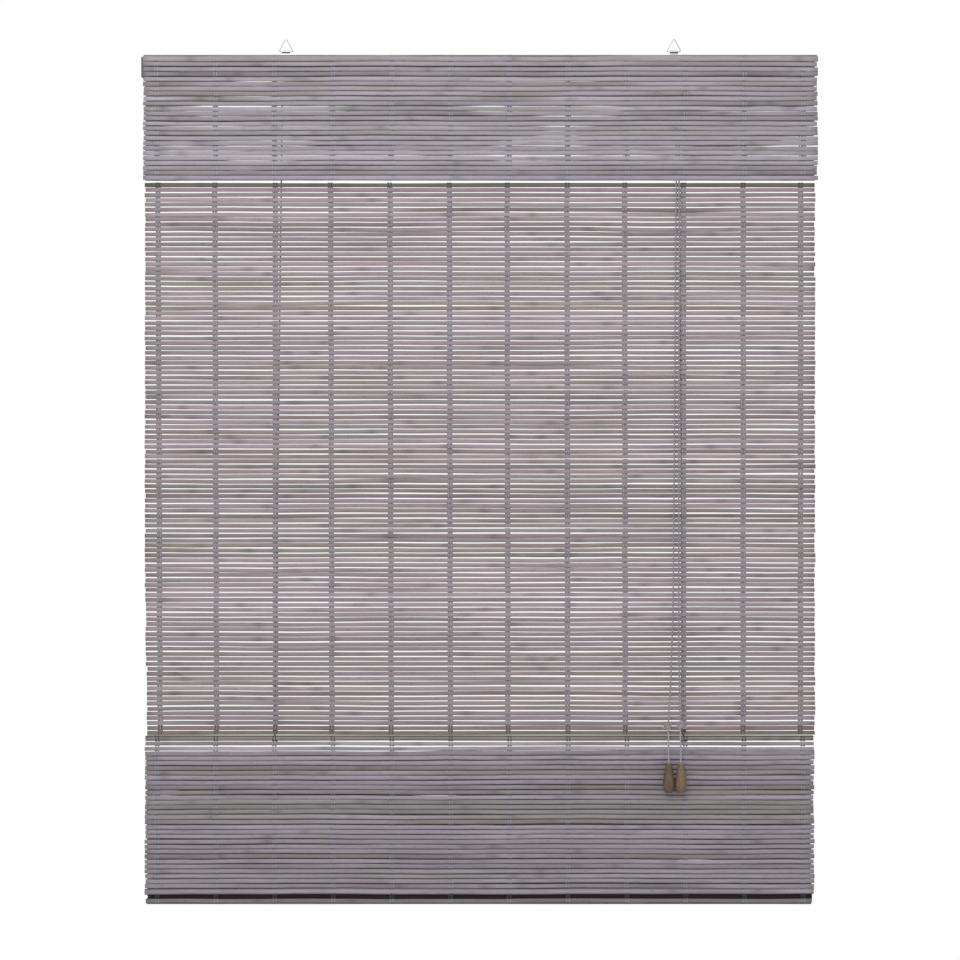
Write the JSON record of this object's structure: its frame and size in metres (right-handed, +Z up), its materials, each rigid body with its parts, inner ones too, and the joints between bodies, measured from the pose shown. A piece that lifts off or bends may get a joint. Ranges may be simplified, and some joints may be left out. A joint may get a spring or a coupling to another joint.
{
  "type": "bamboo roman blind",
  "caption": "Woven bamboo slat blind with a head rail, valance, pleating mat, turned-up hem, hanging loops and two pull cords with turned wooden pulls.",
  "frame": {"origin": "middle of the head rail's back face, which lies against the wall or window frame", "axes": "+Z up, +Y into the wall, so the room is at -Y; +X to the right as seen from the room"},
  "size_m": [1.006, 0.041, 1.2923],
  "materials": {
    "painted_wood": "matt stain",
    "bamboo": "grey-washed",
    "thread": "spun",
    "cord": "braided",
    "ring_plastic": "moulded",
    "turned_wood": "waxed",
    "steel": "zinc plated"
  },
  "bodies": {
    "head": {"head_rail": "painted_wood", "valance_mat": "bamboo", "valance_threads": "thread", "upper_mat": "bamboo", "upper_threads": "thread", "screw_eye_left": "steel", "screw_eye_right": "steel", "hanger_strap_left": "steel", "hanger_strap_right": "steel", "strap_screws": "steel", "guide_rings_1": "ring_plastic", "lift_cord_left": "cord", "lift_cord_right": "cord", "cross_cord_left": "cord", "cross_cord_right": "cord"},
    "pleat_1": {"pleat_1_mat": "bamboo", "pleat_1_threads": "thread"},
    "pleat_2": {"pleat_2_mat": "bamboo", "pleat_2_threads": "thread", "guide_rings_2": "ring_plastic"},
    "pleat_3": {"pleat_3_mat": "bamboo", "pleat_3_threads": "thread"},
    "pleat_4": {"pleat_4_mat": "bamboo", "pleat_4_threads": "thread", "guide_rings_3": "ring_plastic"},
    "pleat_5": {"pleat_5_mat": "bamboo", "pleat_5_threads": "thread"},
    "pleat_6": {"pleat_6_mat": "bamboo", "pleat_6_threads": "thread", "guide_rings_4": "ring_plastic"},
    "pleat_7": {"pleat_7_mat": "bamboo", "pleat_7_threads": "thread"},
    "pleat_8": {"pleat_8_mat": "bamboo", "pleat_8_threads": "thread"},
    "hem": {"hem_mat": "bamboo", "hem_threads": "thread", "bottom_batten": "painted_wood", "lift_batten": "painted_wood", "lift_knot_left": "cord", "lift_knot_right": "cord"},
    "pull_line": {"pull_cord_left": "cord", "pull_cord_right": "cord"},
    "pull_left": {"wooden_pull_left": "turned_wood", "cord_knot_left": "cord"},
    "loop_left": {"hanging_loop_left": "steel"},
    "pull_right": {"wooden_pull_right": "turned_wood", "cord_knot_right": "cord"},
    "loop_right": {"hanging_loop_right": "steel"}
  },
  "joints": [
    {"name": "lift", "type": "hinge", "parent": "head", "child": "pleat_1", "pos_m": [0, -0.02305, -0.17325], "axis": [-1, 0, 0], "range_deg": [0, 82], "deforming": ["lift_cord_left", "lift_cord_right"]},
    {"name": "fold_2", "type": "hinge", "parent": "pleat_1", "child": "pleat_2", "pos_m": [0, -0.01985, -0.27643], "axis": [1, 0, 0], "range_deg": [0, 164]},
    {"name": "fold_3", "type": "hinge", "parent": "pleat_2", "child": "pleat_3", "pos_m": [0, -0.02305, -0.37961], "axis": [-1, 0, 0], "range_deg": [0, 164]},
    {"name": "fold_4", "type": "hinge", "parent": "pleat_3", "child": "pleat_4", "pos_m": [0, -0.01985, -0.48279], "axis": [1, 0, 0], "range_deg": [0, 164]},
    {"name": "fold_5", "type": "hinge", "parent": "pleat_4", "child": "pleat_5", "pos_m": [0, -0.02305, -0.58597], "axis": [-1, 0, 0], "range_deg": [0, 164]},
    {"name": "fold_6", "type": "hinge", "parent": "pleat_5", "child": "pleat_6", "pos_m": [0, -0.01985, -0.68915], "axis": [1, 0, 0], "range_deg": [0, 164]},
    {"name": "fold_7", "type": "hinge", "parent": "pleat_6", "child": "pleat_7", "pos_m": [0, -0.02305, -0.79233], "axis": [-1, 0, 0], "range_deg": [0, 164]},
    {"name": "fold_8", "type": "hinge", "parent": "pleat_7", "child": "pleat_8", "pos_m": [0, -0.01985, -0.89551], "axis": [1, 0, 0], "range_deg": [0, 164]},
    {"name": "fold_9", "type": "hinge", "parent": "pleat_8", "child": "hem", "pos_m": [0, -0.02305, -0.99869], "axis": [-1, 0, 0], "range_deg": [0, 82]},
    {"name": "cord_carry", "type": "hinge", "parent": "pleat_1", "child": "pull_line", "pos_m": [0.295, -0.0249, -0.27893], "axis": [1, 0, 0], "range_deg": [0, 82]},
    {"name": "cord_pull_left", "type": "slide", "parent": "pull_line", "child": "pull_left", "axis": [0, 0, -1], "range_m": [0, 0.6852], "deforming": ["pull_cord_left"]},
    {"name": "cord_pull_right", "type": "slide", "parent": "pull_line", "child": "pull_right", "axis": [0, 0, -1], "range_m": [0, 0.6852], "deforming": ["pull_cord_right"]},
    {"name": "loop_swing_left", "type": "hinge", "parent": "head", "child": "loop_left", "pos_m": [-0.291, -0.00175, 0.025], "axis": [1, 0, 0], "range_deg": [-85, 85]},
    {"name": "loop_swing_right", "type": "hinge", "parent": "head", "child": "loop_right", "pos_m": [0.291, -0.00175, 0.025], "axis": [1, 0, 0], "range_deg": [-85, 85]}
  ],
  "couplings": [
    {"joint": "fold_2", "follows": "lift", "ratio": 2},
    {"joint": "fold_3", "follows": "lift", "ratio": 2},
    {"joint": "fold_4", "follows": "lift", "ratio": 2},
    {"joint": "fold_5", "follows": "lift", "ratio": 2},
    {"joint": "fold_6", "follows": "lift", "ratio": 2},
    {"joint": "fold_7", "follows": "lift", "ratio": 2},
    {"joint": "fold_8", "follows": "lift", "ratio": 2},
    {"joint": "fold_9", "follows": "lift", "ratio": 1},
    {"joint": "cord_carry", "follows": "lift", "ratio": 1},
    {"joint": "cord_pull_left", "follows": "lift", "m_per_rad": 0.47877},
    {"joint": "cord_pull_right", "follows": "lift", "m_per_rad": 0.47877}
  ]
}
